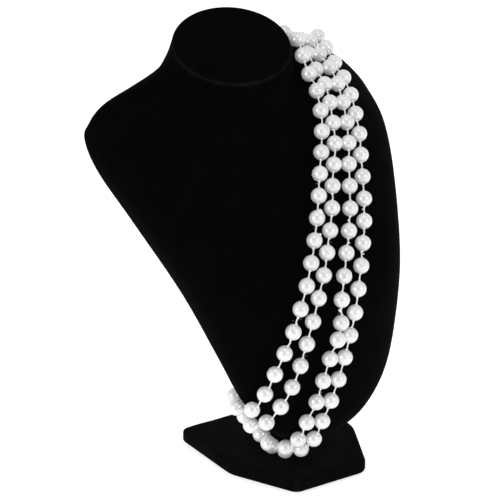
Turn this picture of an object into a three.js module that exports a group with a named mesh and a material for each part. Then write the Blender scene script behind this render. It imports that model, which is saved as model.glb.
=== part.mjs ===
// A long strand of round pearl beads, wound four times like a sash round a plain velvet bust.
// Millimetres, +Z up. The bust looks along -Y, and the origin is under the middle of its base.

import * as THREE from 'three';

// Driving dimensions of the necklace.
const BEAD_DIAMETER = 10;
const BEAD_PITCH = 13.85;
const BORE_DIAMETER = 2.6;
const THREAD_DIAMETER = 1.2;
const CLEARANCE = 0.3;
const BEAD_GAP = 0.15;
const SETTLING_PASSES = 30;
const OWN_BEADS = 19;
const STRETCH_BEADS = 12;
const TURN_BEADS = 5;
const BEAD_SIDES = 7;
const STRUNG_SIDES = 5;

// Driving dimensions of the stand.
const BASE = { front: 50, width: 90, chamfer: 42, depth: 96.5, thickness: 9, corner: 4, edge: 1.2 };
const STEM = { width: 14, toe: -10, heel: 18, head: 6, rows: [2, 3, 4] };

// Level sections of the bust, from its lower tip to the edge of the neck top. At each height:
// half width, the widest line's y, depth forwards and backwards of it, how square the front and
// back curves are, and how far the section leans forward in degrees.
const SECTION_COLUMNS = ['z', 'half', 'y', 'front', 'back', 'frontPower', 'backPower', 'lean'];
const SECTION_ROWS = [
  [23, 0.1, -27.5, 0.1, 0.1, 2.4, 3.0, 0],
  [27, 18.5, -29, 7.5, 4.5, 2.4, 3.5, 0],
  [39, 35, -29, 15, 7, 2.4, 4, 0],
  [59, 49, -27, 20.5, 7, 2.4, 4, 0],
  [86, 59.5, -18, 31, 7, 2.4, 4, 0],
  [122, 71.5, 1.5, 48, 7, 2.4, 4, 0],
  [160, 86.5, 30, 53, 7.5, 2.4, 3.8, 0],
  [185, 95, 54, 57.5, 9, 2.4, 3.4, 0],
  [200, 94.5, 69.5, 59.5, 10, 2.3, 3, 0],
  [209, 90, 71, 55.5, 12.5, 2, 2.5, 2],
  [217, 81.5, 71, 51.5, 15, 1.6, 2, 4],
  [222.5, 67.5, 70.5, 48.5, 18, 1.4, 1.6, 7.5],
  [229, 50, 68, 43.5, 21.5, 1.5, 1.5, 13],
  [234.7, 43, 63.5, 37, 26.5, 1.7, 1.7, 20.5],
  [239.2, 39.5, 60.5, 32.3, 29.4, 1.9, 1.9, 26.5],
  [242, 38.2, 59.2, 30.2, 30.2, 2, 2, 30],
];
const BUST_SIDES = 26;
const RINGS_PER_ROW = 1.8;

// The padded neck top above the last section: rings by their share of its size, and height.
const NECK_TOP = [
  { size: 0.97, rise: 0.8 },
  { size: 0.75, rise: 1.7 },
  { size: 0.4, rise: 2.2 },
];

// The four windings, from the one beside the neck outwards. CHEST gives where each lies as it
// comes over the shoulder and down the chest; y and z are shared, x has one value a winding.
const CHEST = [
  { y: 70, z: 232, x: [49, 55, 59, 62.5] },
  { y: 55, z: 231, x: [46.5, 53, 58, 62] },
  { y: 42, z: 226, x: [44.5, 50.5, 57, 61.5] },
  { y: 30, z: 219, x: [42.5, 48, 56, 60.5] },
  { y: 15, z: 210, x: [35.2, 42.3, 50.8, 56.7] },
  { y: 6, z: 200, x: [28.8, 35.8, 46.2, 54] },
  { y: -12, z: 180, x: [13.6, 22.4, 34.6, 45] },
  { y: -29, z: 160, x: [0.6, 10.7, 24.7, 35.6] },
  { y: -42, z: 140, x: [-12, -3, 12, 24] },
  { y: -50, z: 120, x: [-25, -14.5, 2.7, 13.9] },
  { y: -53, z: 100, x: [-34, -21.7, -0.6, 8.1] },
  { y: -53, z: 80, x: [-44, -28, -8.6, 2.8] },
  { y: -48, z: 60, x: [-53.5, -37, -13.7, -3.8] },
  { y: -45, z: 47, x: [null, -46, -19, -8.5] },
  { y: -44, z: 33, x: [null, null, -22.3, -11.6] },
];

// Each winding then turns under the near edge or the tip, as [x, y, z].
const TURNS = [
  [[-53, -27, 56], [-46, -14, 58]],
  [[-46, -34, 45], [-43, -20, 43]],
  [[-24, -36, 25.5], [-27.8, -22.5, 23.5], [-25, -10, 22.5]],
  [[-14.6, -36, 23], [-17.5, -25, 17], [-18, -13, 14.4], [-15.5, 1.5, 14.5]],
];

// Behind the bust each winding climbs to the lane beside it. The outer one crosses over the
// other three, one bead further out, back to the lane beside the neck.
const CLIMBS = [
  [[3, 33, 130], [24, 54, 160], [45, 72, 187], [54, 88, 214]],
  [[17, 33, 130], [36, 54, 160], [56, 72, 187], [64, 87, 212]],
  [[-17, 4, 34], [-9, 14, 60], [31, 33, 130], [48, 54, 160], [67, 72, 187], [74, 86, 210]],
  [[-14, 15, 21], [-10, 26, 38], [-3, 31, 60], [14, 46, 130], [22, 65, 160], [32, 74, 187],
    [43, 92, 214]],
];

// On the chest a bead of each winding sits at this height, with so many beads above and below
// it at the full pitch.
const MARKED_BEADS = [
  { height: 191.2, above: 6, below: 12 },
  { height: 185.4, above: 6, below: 14 },
  { height: 106.5, above: 15, below: 9 },
  { height: 165.1, above: 10, below: 15 },
];

// Below the marked bead of the third winding is the knot: it holds the next bead against the
// marked one and a little off the bust, by shift, and the bead after that closer than others.
const KNOT = { winding: 2, pitch: 9, onward: 13, shift: [-2.4, -3.7, 1.9] };

const VELVET = { color: 0x0c0c0d, roughness: 0.95, metalness: 0 };
const PEARL = { color: 0xe9e8e5, roughness: 0.28, metalness: 0 };
const COTTON = { color: 0xe6e4df, roughness: 0.8, metalness: 0 };

const beadRadius = BEAD_DIAMETER / 2;
const seatHeight = beadRadius + CLEARANCE;

/** A smooth curve through the rows, read at a place counted in rows. */
function rowAt(rows, place) {
  const index = Math.min(Math.floor(place), rows.length - 2);
  const t = place - index;
  const start = rows[index];
  const end = rows[index + 1];
  const before = rows[index - 1] ?? start.map((value, i) => 2 * value - end[i]);
  const after = rows[index + 2] ?? end.map((value, i) => 2 * value - start[i]);
  return start.map((value, i) => {
    const slopeIn = (end[i] - before[i]) / 2;
    const slopeOut = (after[i] - value) / 2;
    const rise = end[i] - value;
    const square = 3 * rise - 2 * slopeIn - slopeOut;
    const cube = slopeIn + slopeOut - 2 * rise;
    return value + t * (slopeIn + t * (square + t * cube));
  });
}

/** One closed section of the bust: rounded squares in front of and behind the widest line. */
function sectionPoints(place, count) {
  const values = rowAt(SECTION_ROWS, place);
  const section = Object.fromEntries(SECTION_COLUMNS.map((name, i) => [name, values[i]]));
  const lean = THREE.MathUtils.degToRad(section.lean);
  return Array.from({ length: count }, (_, i) => {
    const angle = (2 * Math.PI * i) / count;
    const cos = Math.cos(angle);
    const sin = Math.sin(angle);
    const power = sin < 0 ? section.frontPower : section.backPower;
    const depth = sin < 0 ? section.front : section.back;
    const across = section.half * Math.sign(cos) * Math.abs(cos) ** (2 / power);
    const along = depth * Math.sign(sin) * Math.abs(sin) ** (2 / power);
    return new THREE.Vector3(
      across,
      section.y + along * Math.cos(lean),
      section.z + along * Math.sin(lean),
    );
  });
}

/** A closed solid through equal rings of points, capped at each end round the ring's middle. */
function loft(rings) {
  const count = rings[0].length;
  const middle = (ring) => ring.reduce((sum, p) => sum.add(p), new THREE.Vector3())
    .divideScalar(count);
  const points = [...rings.flat(), middle(rings[0]), middle(rings.at(-1))];
  const faces = [];
  const firstEnd = points.length - 2;
  const lastRing = (rings.length - 1) * count;
  for (let i = 0; i < count; i += 1) {
    const next = (i + 1) % count;
    faces.push(firstEnd, next, i);
    faces.push(firstEnd + 1, lastRing + i, lastRing + next);
    for (let ring = 0; ring < lastRing; ring += count) {
      faces.push(ring + i, ring + next, ring + count + next);
      faces.push(ring + i, ring + count + next, ring + count + i);
    }
  }
  const geometry = new THREE.BufferGeometry().setFromPoints(points);
  geometry.setIndex(faces);
  geometry.computeVertexNormals();
  return geometry;
}

/** The bust's surface as close points with their outward directions, to rest beads on. */
function bustSurface() {
  const perRow = 12;
  const around = 120;
  const last = SECTION_ROWS.length - 1;
  const rings = [];
  for (let i = 1; i <= last * perRow; i += 1) rings.push(sectionPoints(i / perRow, around));
  const samples = [];
  for (let i = 1; i < rings.length - 1; i += 1) {
    for (let j = 0; j < around; j += 1) {
      const sideways = rings[i][(j + 1) % around].clone().sub(rings[i].at(j - 1));
      const upwards = rings[i + 1][j].clone().sub(rings[i - 1][j]);
      const normal = sideways.cross(upwards).normalize();
      if (normal.lengthSq() > 0) samples.push({ point: rings[i][j], normal });
    }
  }
  return samples;
}

/** Moves a point of the strand off the bust, or onto it where the strand rests (rest is 1). */
function seat(surface, point, rest) {
  for (let pass = 0; pass < 2; pass += 1) {
    let nearest = surface[0];
    let least = Infinity;
    for (const sample of surface) {
      const distance = sample.point.distanceToSquared(point);
      if (distance < least) {
        least = distance;
        nearest = sample;
      }
    }
    const height = point.clone().sub(nearest.point).dot(nearest.normal);
    const wanted = rest * seatHeight + (1 - rest) * Math.max(height, seatHeight);
    point.addScaledVector(nearest.normal, wanted - height);
  }
}

/** The strand's whole closed route, as close points with the winding that each belongs to. */
function strandRoute(surface) {
  const marks = [];
  TURNS.forEach((turn, winding) => {
    for (const row of CHEST) {
      const x = row.x[winding];
      if (x !== null) marks.push({ winding, rest: 1, chest: true, at: [x, row.y, row.z] });
    }
    for (const at of turn) marks.push({ winding, rest: 0, chest: false, at });
    for (const at of CLIMBS[winding]) marks.push({ winding, rest: 0, chest: false, at });
  });
  const corners = marks.map((mark) => new THREE.Vector3(...mark.at));
  const curve = new THREE.CatmullRomCurve3(corners, true, 'centripetal');
  const perMark = 8;
  const route = [];
  for (let i = 0; i < marks.length * perMark; i += 1) {
    const place = i / perMark;
    const here = marks[Math.floor(place)];
    const next = marks[(Math.floor(place) + 1) % marks.length];
    const rest = THREE.MathUtils.lerp(here.rest, next.rest, place % 1);
    const point = curve.getPoint(place / marks.length);
    seat(surface, point, rest);
    route.push({ point, winding: here.winding, chest: here.chest });
  }
  return route;
}

/** Reads the route by its length: the point at a length, and the length at a height. */
class Strand {
  constructor(route) {
    this.route = route;
    this.points = route.map((step) => step.point);
    this.lengths = [0];
    for (let i = 0; i < this.points.length; i += 1) {
      const next = this.points[(i + 1) % this.points.length];
      this.lengths.push(this.lengths[i] + this.points[i].distanceTo(next));
    }
    this.total = this.lengths.at(-1);
  }

  pointAt(length) {
    const wrapped = THREE.MathUtils.euclideanModulo(length, this.total);
    let i = 0;
    while (this.lengths[i + 1] < wrapped) i += 1;
    const part = (wrapped - this.lengths[i]) / (this.lengths[i + 1] - this.lengths[i]);
    return this.points[i].clone().lerp(this.points[(i + 1) % this.points.length], part);
  }

  lengthAtHeight(winding, height) {
    const i = this.route.findIndex((step, at) => step.chest && step.winding === winding
      && step.point.z >= height && this.points[at + 1].z < height);
    const part = (this.points[i].z - height) / (this.points[i].z - this.points[i + 1].z);
    return THREE.MathUtils.lerp(this.lengths[i], this.lengths[i + 1], part);
  }
}

/** Where every bead sits along the strand: at the full pitch on the chest, evenly behind.
 *  starts holds the number of the first bead of each front run and each run behind. */
function beadLengths(strand) {
  const runs = MARKED_BEADS.map(({ height, above, below }, winding) => {
    const mark = strand.lengthAtHeight(winding, height);
    return Array.from({ length: above + 1 + below }, (_, i) => {
      const steps = i - above;
      if (winding !== KNOT.winding || steps <= 0) return mark + steps * BEAD_PITCH;
      return mark + KNOT.pitch + (steps > 1 ? KNOT.onward + (steps - 2) * BEAD_PITCH : 0);
    });
  });
  const lengths = [];
  const starts = [];
  runs.forEach((run, winding) => {
    starts.push(lengths.length);
    const start = run.at(-1);
    const end = winding < runs.length - 1 ? runs[winding + 1][0] : runs[0][0] + strand.total;
    const steps = Math.round((end - start) / BEAD_PITCH);
    lengths.push(...run);
    starts.push(lengths.length);
    for (let i = 1; i < steps; i += 1) lengths.push(start + ((end - start) * i) / steps);
  });
  return { lengths, starts: [...starts, lengths.length] };
}

/** Moves two beads along the line between them until their middles are so far apart. */
function setApart(bead, other, distance) {
  const apart = other.clone().sub(bead);
  const shift = apart.clone().setLength((distance - apart.length()) / 2);
  bead.sub(shift);
  other.add(shift);
}

/** The middles of all beads round the strand, settled beside each other on the taut thread. */
function settledBeads(surface) {
  const strand = new Strand(strandRoute(surface));
  const { lengths, starts } = beadLengths(strand);
  const beads = lengths.map((length) => strand.pointAt(length));
  const knotted = starts[2 * KNOT.winding] + MARKED_BEADS[KNOT.winding].above + 1;
  beads[knotted].add(new THREE.Vector3(...KNOT.shift));
  const next = (i) => (i + 1) % beads.length;
  const pitches = beads.map((bead, i) => bead.distanceTo(beads[next(i)]));
  for (let pass = 0; pass < SETTLING_PASSES; pass += 1) {
    beads.forEach((bead, i) => setApart(bead, beads[next(i)], pitches[i]));
    beads.forEach((bead, i) => {
      for (const other of beads.slice(i + 1)) {
        if (bead.distanceTo(other) < BEAD_DIAMETER + BEAD_GAP) {
          setApart(bead, other, BEAD_DIAMETER + BEAD_GAP);
        }
      }
    });
    for (const bead of beads) seat(surface, bead, 0);
  }
  return { beads, starts };
}

/** A ring of points round a middle, square to the line of travel; side is its first point. */
function ringAt(middle, travel, side, radius) {
  return Array.from({ length: STRUNG_SIDES }, (_, i) => {
    const turn = (2 * Math.PI * i) / STRUNG_SIDES;
    return side.clone().applyAxisAngle(travel, turn).multiplyScalar(radius).add(middle);
  });
}

/** A bead as rings from its lower pole to its upper one, each [angle from the pole, radius]. */
function beadRings(bead, travel, side) {
  const pole = Math.asin(THREAD_DIAMETER / BEAD_DIAMETER);
  const shoulder = THREE.MathUtils.degToRad(35);
  return [pole, shoulder, Math.PI / 2, Math.PI - shoulder, Math.PI - pole].map((angle) => {
    const middle = bead.clone().addScaledVector(travel, -beadRadius * Math.cos(angle));
    return ringAt(middle, travel, side, beadRadius * Math.sin(angle));
  });
}

/** The thread alone where it passes through a bead, as a ring at each end of the bore. */
function threadRings(bead, travel, side) {
  return [-beadRadius, beadRadius].map((along) => (
    ringAt(bead.clone().addScaledVector(travel, along), travel, side, THREAD_DIAMETER / 2)));
}

/** A run of the thread from halfway before its first bead to halfway after its last one. */
function threadedRun(beads, first, count, withBeads) {
  const at = (i) => beads[THREE.MathUtils.euclideanModulo(i, beads.length)];
  const halfway = (i, backOff) => {
    const travel = at(i + 1).clone().sub(at(i)).normalize();
    return at(i).clone().lerp(at(i + 1), 0.5).addScaledVector(travel, backOff);
  };
  const rings = [];
  const side = new THREE.Vector3(1, 0, 0);
  const addRings = (middle, travel, makeRings) => {
    side.addScaledVector(travel, -side.dot(travel)).normalize();
    rings.push(...makeRings(middle, travel, side));
  };
  const endRing = (...place) => [ringAt(...place, THREAD_DIAMETER / 2)];
  const travelAt = (i) => at(i + 1).clone().sub(at(i - 1)).normalize();
  addRings(halfway(first - 1, CLEARANCE / 2), travelAt(first), endRing);
  for (let i = first; i < first + count; i += 1) {
    addRings(at(i), travelAt(i), withBeads ? beadRings : threadRings);
  }
  addRings(halfway(first + count - 1, -CLEARANCE / 2), travelAt(first + count - 1), endRing);
  return loft(rings);
}

/** One bead as a ball with a bore through it, turned about the upright axis. */
function boredBead() {
  const pole = Math.asin(BORE_DIAMETER / BEAD_DIAMETER);
  const outline = Array.from({ length: 5 }, (_, i) => {
    const angle = THREE.MathUtils.lerp(pole, Math.PI - pole, i / 4);
    return new THREE.Vector2(beadRadius * Math.sin(angle), -beadRadius * Math.cos(angle));
  });
  return new THREE.LatheGeometry([...outline, outline[0]], BEAD_SIDES);
}

/** The bust: every section from the tip up, then the padded neck top. */
function bustGeometry() {
  const last = SECTION_ROWS.length - 1;
  const count = Math.round(last * RINGS_PER_ROW);
  const rings = Array.from({ length: count + 1 }, (_, i) => (
    sectionPoints((last * i) / count, BUST_SIDES)));
  const rim = rings.at(-1);
  const middle = new THREE.Vector3(0, rim[BUST_SIDES / 2].y, rim[BUST_SIDES / 2].z);
  const up = rim[0].clone().sub(middle).cross(rim[1].clone().sub(middle)).normalize();
  for (const { size, rise } of NECK_TOP) {
    rings.push(rim.map((point) => middle.clone().lerp(point, size).addScaledVector(up, rise)));
  }
  return loft(rings);
}

/** A flat outline through its corners, each rounded with the same radius. */
function roundedOutline(corners, radius) {
  const outline = new THREE.Shape();
  corners.forEach((corner, i) => {
    const towards = (other) => corner.clone().add(
      other.clone().sub(corner).setLength(radius));
    const arrive = towards(corners.at(i - 1));
    const leave = towards(corners[(i + 1) % corners.length]);
    if (i === 0) outline.moveTo(arrive.x, arrive.y);
    else outline.lineTo(arrive.x, arrive.y);
    outline.quadraticCurveTo(corner.x, corner.y, leave.x, leave.y);
  });
  outline.closePath();
  return outline;
}

/** The six-sided base plate, with its front corners cut off. */
function baseGeometry() {
  const { front, width, chamfer, depth, thickness, corner, edge } = BASE;
  const half = [
    new THREE.Vector2(front / 2, -depth / 2),
    new THREE.Vector2(width / 2, chamfer - depth / 2),
    new THREE.Vector2(width / 2, depth / 2),
  ];
  const mirrored = half.map((point) => new THREE.Vector2(-point.x, point.y)).reverse();
  const geometry = new THREE.ExtrudeGeometry(roundedOutline([...half, ...mirrored], corner), {
    depth: thickness - 2 * edge,
    bevelThickness: edge,
    bevelSize: edge,
    bevelOffset: -edge,
    bevelSegments: 1,
    curveSegments: 3,
  });
  return geometry.translate(0, 0, edge);
}

/** The wedge that carries the bust: its front follows the bust's back, its foot the base. */
function stemGeometry() {
  const quarterTurn = 1;
  const back = STEM.rows.map((row) => sectionPoints(row, 4)[quarterTurn]);
  const gap = 1.2 * CLEARANCE;
  const foot = BASE.thickness + CLEARANCE;
  const top = back.at(-1);
  const outline = new THREE.Shape([
    new THREE.Vector2(STEM.toe, foot),
    new THREE.Vector2(STEM.heel, foot),
    new THREE.Vector2(top.y + gap + STEM.head, top.z),
    ...back.reverse().map((point) => new THREE.Vector2(point.y + gap, point.z)),
  ]);
  const geometry = new THREE.ExtrudeGeometry(outline, { depth: STEM.width, bevelEnabled: false });
  geometry.translate(0, 0, -STEM.width / 2);
  const axes = new THREE.Matrix4().makeBasis(
    new THREE.Vector3(0, 1, 0),
    new THREE.Vector3(0, 0, 1),
    new THREE.Vector3(1, 0, 0),
  );
  return geometry.applyMatrix4(axes);
}

/** A named piece in its finish. */
function piece(name, geometry, finish) {
  const mesh = new THREE.Mesh(geometry, new THREE.MeshStandardMaterial(finish));
  mesh.name = name;
  return mesh;
}

/** The stand: base plate, stem and bust. */
function buildStand() {
  const stand = new THREE.Group();
  stand.add(
    piece('base', baseGeometry(), VELVET),
    piece('stem', stemGeometry(), VELVET),
    piece('bust', bustGeometry(), VELVET),
  );
  return stand;
}

/** The beads of one winding's front as pieces of their own, with the thread through them. */
function buildFrontRun(name, beads, first) {
  const run = new THREE.Group();
  const geometry = boredBead();
  const upright = new THREE.Vector3(0, 1, 0);
  for (let i = 0; i < OWN_BEADS; i += 1) {
    const number = String(i + 1).padStart(2, '0');
    const bead = piece(`bead_${name}_${number}`, geometry, PEARL);
    const travel = beads[first + i + 1].clone().sub(beads.at(first + i - 1)).normalize();
    bead.position.copy(beads[first + i]);
    bead.quaternion.setFromUnitVectors(upright, travel);
    run.add(bead);
  }
  run.add(piece(`thread_${name}`, threadedRun(beads, first, OWN_BEADS, false), COTTON));
  return run;
}

/** The necklace: two front runs of single beads, and the rest in short strung stretches. The
 *  beads that turn under the bust are stretches of their own. */
function buildNecklace() {
  const necklace = new THREE.Group();
  const { beads, starts } = settledBeads(bustSurface());
  const inner = starts[0];
  const outer = starts.at(-3);
  necklace.add(buildFrontRun('inner', beads, inner), buildFrontRun('outer', beads, outer));
  let made = 0;
  const addStretch = (first, count) => {
    made += 1;
    const name = `strand_${String(made).padStart(2, '0')}`;
    necklace.add(piece(name, threadedRun(beads, first, count, true), PEARL));
  };
  starts.slice(0, -1).forEach((start, i) => {
    const behind = i % 2 === 1;
    const own = start === inner || start === outer ? OWN_BEADS : 0;
    if (behind) addStretch(start, TURN_BEADS);
    const first = start + own + (behind ? TURN_BEADS : 0);
    const left = starts[i + 1] - first;
    const stretches = Math.ceil(left / STRETCH_BEADS);
    for (let j = 0; j < stretches; j += 1) {
      const from = Math.round((left * j) / stretches);
      const to = Math.round((left * (j + 1)) / stretches);
      addStretch(first + from, to - from);
    }
  });
  return necklace;
}

const assembly = new THREE.Group();
assembly.add(buildStand(), buildNecklace());

export default assembly;
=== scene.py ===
"""A long strand of pearl beads, wound four times like a sash round a plain velvet neck bust.

Tables and sizes are in millimetres, meshes in metres. +Z is up, the bust looks along -Y and the
origin is under the middle of the base plate.
"""

import logging
import math
from dataclasses import dataclass, field
from enum import Enum
from typing import Any, Optional, Sequence, Union

import bpy
import numpy as np
from mathutils import Euler, Matrix, Vector


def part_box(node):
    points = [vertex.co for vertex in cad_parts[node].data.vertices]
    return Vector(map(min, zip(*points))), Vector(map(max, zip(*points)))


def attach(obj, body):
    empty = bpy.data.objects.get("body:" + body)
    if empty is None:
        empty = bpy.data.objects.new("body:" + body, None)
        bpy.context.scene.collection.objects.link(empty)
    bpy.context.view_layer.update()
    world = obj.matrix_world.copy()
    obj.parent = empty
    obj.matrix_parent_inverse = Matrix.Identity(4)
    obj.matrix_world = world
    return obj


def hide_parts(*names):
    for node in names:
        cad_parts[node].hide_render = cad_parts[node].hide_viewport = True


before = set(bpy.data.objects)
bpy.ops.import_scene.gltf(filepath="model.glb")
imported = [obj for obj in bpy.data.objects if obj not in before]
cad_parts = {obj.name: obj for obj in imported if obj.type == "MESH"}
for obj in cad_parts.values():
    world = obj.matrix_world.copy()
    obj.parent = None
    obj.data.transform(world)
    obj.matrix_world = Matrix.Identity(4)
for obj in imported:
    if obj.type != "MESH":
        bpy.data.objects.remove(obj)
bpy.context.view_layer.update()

log = logging.getLogger("pearl_strand")

MM = 0.001

# A direction that the thread nowhere runs along, so that its cross product with it is safe.
LEANING = (0.31, 0.87, 0.38)


class Slot(Enum):
    """The record's material slots."""

    VELVET = "velvet"
    PEARL = "pearl"
    COTTON = "cotton"


class Winding(Enum):
    """The four windings, from the one beside the neck outwards."""

    INNER = 0
    SECOND = 1
    THIRD = 2
    OUTER = 3


class Side(Enum):
    """Whether a run of pearls lies on the chest or behind the bust."""

    FRONT = 0
    BEHIND = 1


# --------------------------------------------------------------------------------------------
# Shaders
# --------------------------------------------------------------------------------------------


class Value:
    """A shader socket that Python's operators can add to and multiply."""

    def __init__(self, shader: "Nodes", socket: bpy.types.NodeSocket) -> None:
        """Wraps one output socket of a shader's node."""
        self.shader = shader
        self.socket = socket

    def _math(self, operation: str, first: Any, second: Any) -> "Value":
        """Adds a Math node that works on two values."""
        return self.shader.node("ShaderNodeMath", {"operation": operation}, {0: first, 1: second})

    def __add__(self, other: Any) -> "Value":
        """This value plus another."""
        return self._math("ADD", self, other)

    __radd__ = __add__

    def __mul__(self, other: Any) -> "Value":
        """This value times another."""
        return self._math("MULTIPLY", self, other)

    __rmul__ = __mul__


class Nodes:
    """A node tree of a material or of the surroundings."""

    def __init__(self, tree: bpy.types.NodeTree) -> None:
        """Takes the tree that the nodes are added to."""
        self.tree = tree

    def add(self, kind: str, settings: dict[str, Any], sockets: dict[Any, Any]) -> bpy.types.Node:
        """Adds a node: its settings are made first, then its sockets' values and links.

        Args:
            kind: The node's type.
            settings: Its properties, such as a Math node's operation, or "stops" of a ramp.
            sockets: Values or links by the input's name or number.

        Returns:
            The node.
        """
        made = self.tree.nodes.new(kind)
        for name, value in settings.items():
            if name == "stops":
                self._stops(made.color_ramp, value)
            else:
                setattr(made, name, value)
        for key, value in sockets.items():
            if isinstance(value, Value):
                self.tree.links.new(value.socket, made.inputs[key])
            else:
                made.inputs[key].default_value = value
        return made

    def node(self, kind: str, settings: dict[str, Any], sockets: dict[Any, Any],
             output: Union[int, str] = 0) -> Value:
        """Adds a node and gives one of its outputs, by name or number."""
        return Value(self, self.add(kind, settings, sockets).outputs[output])

    @staticmethod
    def _stops(ramp: bpy.types.ColorRamp, stops: Sequence[tuple[float, float]]) -> None:
        """Gives a ramp its stops.

        Args:
            ramp: The ramp, which starts with two stops.
            stops: A place and a grey level for each, two or more.
        """
        for element, (place, level) in zip(ramp.elements, stops):
            element.position = place
            element.color = (level, level, level, 1.0)
        for place, level in stops[2:]:
            ramp.elements.new(place).color = (level, level, level, 1.0)

    def ramp(self, value: Value, *stops: tuple[float, float]) -> Value:
        """A value read through stops of (place, level)."""
        return self.node("ShaderNodeValToRGB", {"stops": stops}, {"Fac": value}, "Color")


class Shader(Nodes):
    """The node tree of one finish, round a single Principled surface."""

    def __init__(self, name: str, constants: dict[str, Any]) -> None:
        """Starts a material.

        Args:
            name: The material's name.
            constants: Values of the surface's sockets that are the same all over.
        """
        self.material = bpy.data.materials.new(name)
        self.material.use_nodes = True
        super().__init__(self.material.node_tree)
        self.tree.nodes.clear()
        self.surface = self.add("ShaderNodeBsdfPrincipled", {}, constants)
        self.add("ShaderNodeOutputMaterial", {}, {
            "Surface": Value(self, self.surface.outputs["BSDF"]),
        })

    def place(self) -> Value:
        """The point's place in the object, in metres."""
        return self.node("ShaderNodeTexCoord", {}, {}, "Object")

    def attribute(self, name: str) -> Value:
        """A number that the mesh stores for each point."""
        return self.node("ShaderNodeAttribute", {"attribute_name": name}, {}, "Fac")

    def noise(self, scale: float, detail: float, roughness: float = 0.5) -> Value:
        """Soft noise between 0 and 1, with features about 1 / scale metres wide."""
        return self.node("ShaderNodeTexNoise", {}, {
            "Vector": self.place(), "Scale": scale, "Detail": detail, "Roughness": roughness,
        }, "Fac")

    def mix(self, amount: Any, first: Any, second: Any) -> Value:
        """A colour between two others: first where amount is 0 and second where it is 1."""
        return self.node("ShaderNodeMix", {"data_type": "RGBA"}, {
            0: amount, 6: first, 7: second,
        }, 2)

    def bump(self, height: Value, strength: float, distance: float) -> Value:
        """A normal tilted by a height, as deep as distance in metres."""
        return self.node("ShaderNodeBump", {}, {
            "Height": height, "Strength": strength, "Distance": distance,
        }, "Normal")

    def dress(self, **sockets: Value) -> bpy.types.Material:
        """Links what varies over the surface.

        Args:
            **sockets: Values by the socket's name, with underscores for its spaces.

        Returns:
            The finished material.
        """
        for name, value in sockets.items():
            self.tree.links.new(value.socket, self.surface.inputs[name.replace("_", " ")])
        return self.material


def grey(level: float, warmth: float = 0.0) -> tuple[float, float, float, float]:
    """A linear colour of one level, redder and less blue by a share of it."""
    return (level * (1 + warmth), level, level * (1 - warmth), 1.0)


@dataclass(frozen=True)
class VelvetFinish:
    """Black flocked velvet: short pile that swallows light, rubbed lighter in soft patches.

    The mesh gives a lightening mask, which is 1 where the pile is made lighter, in places as
    painted sheen along rims, and "lint", which is 1 where specks of lint may lie.
    """

    deep: float = 0.0009
    patch: float = 0.0016
    # Level of the lightening mask, which paints sheen along rims among other lighter marks.
    lightened: float = 0.012
    speck: float = 0.03
    lightening_roots: float = 0.4
    lightening_least: float = 0.1
    lightening_patches: float = 1.8
    least_rough: float = 0.88
    pile_bump: float = 0.5
    pile_height: float = 0.0004
    pile_scale: float = 900.0
    patch_scale: float = 70.0
    lint_scale: float = 150.0
    lint_spread: float = 6.0

    def material(self, name: str) -> bpy.types.Material:
        """Makes the material: patches from wide noise, a mask of lint specks and a fine pile.

        The lightening, painted sheen included, shows more on the pile's tips and in the wide
        noise's bright patches. A speck lies round a cell's middle, where noise lint_spread times
        wider is at its brightest.

        Args:
            name: The material's name.

        Returns:
            The material.
        """
        shader = Shader(name, {
            "Sheen Weight": 0.004, "Sheen Roughness": 0.4, "Specular IOR Level": 0.02,
            "Sheen Tint": grey(1.0),
        })
        pile = shader.noise(self.pile_scale, 3.0, 0.65)
        wide = shader.noise(self.patch_scale, 3.0, 0.6)
        patches = shader.ramp(wide, (0.38, 0.0), (0.68, 1.0))
        # Lightening mask from the mesh: painted sheen along rims and other lighter marks.
        lightening = shader.attribute("lightening") * (self.lightening_roots + pile)
        lightening = lightening * (self.lightening_least + self.lightening_patches * wide)
        specks = shader.node("ShaderNodeTexVoronoi", {}, {
            "Vector": shader.place(), "Scale": self.lint_scale, "Randomness": 1.0,
        }, "Distance")
        spread = shader.noise(self.lint_scale / self.lint_spread, 0.0)
        rare = shader.ramp(spread, (0.70, 0.0), (0.72, 1.0))
        lint = shader.ramp(specks, (0.03, 1.0), (0.07, 0.0)) * rare
        lint = lint * shader.attribute("lint")
        colour = shader.mix(patches, grey(self.deep), grey(self.patch, 0.02))
        # Painted sheen and lighter marks go into the colour here.
        colour = shader.mix(lightening, colour, grey(self.lightened, 0.01))
        colour = shader.mix(lint, colour, grey(self.speck))
        return shader.dress(
            Base_Color=colour,
            Roughness=self.least_rough + (1 - self.least_rough) * patches,
            Normal=shader.bump(pile, self.pile_bump, self.pile_height),
        )


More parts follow.
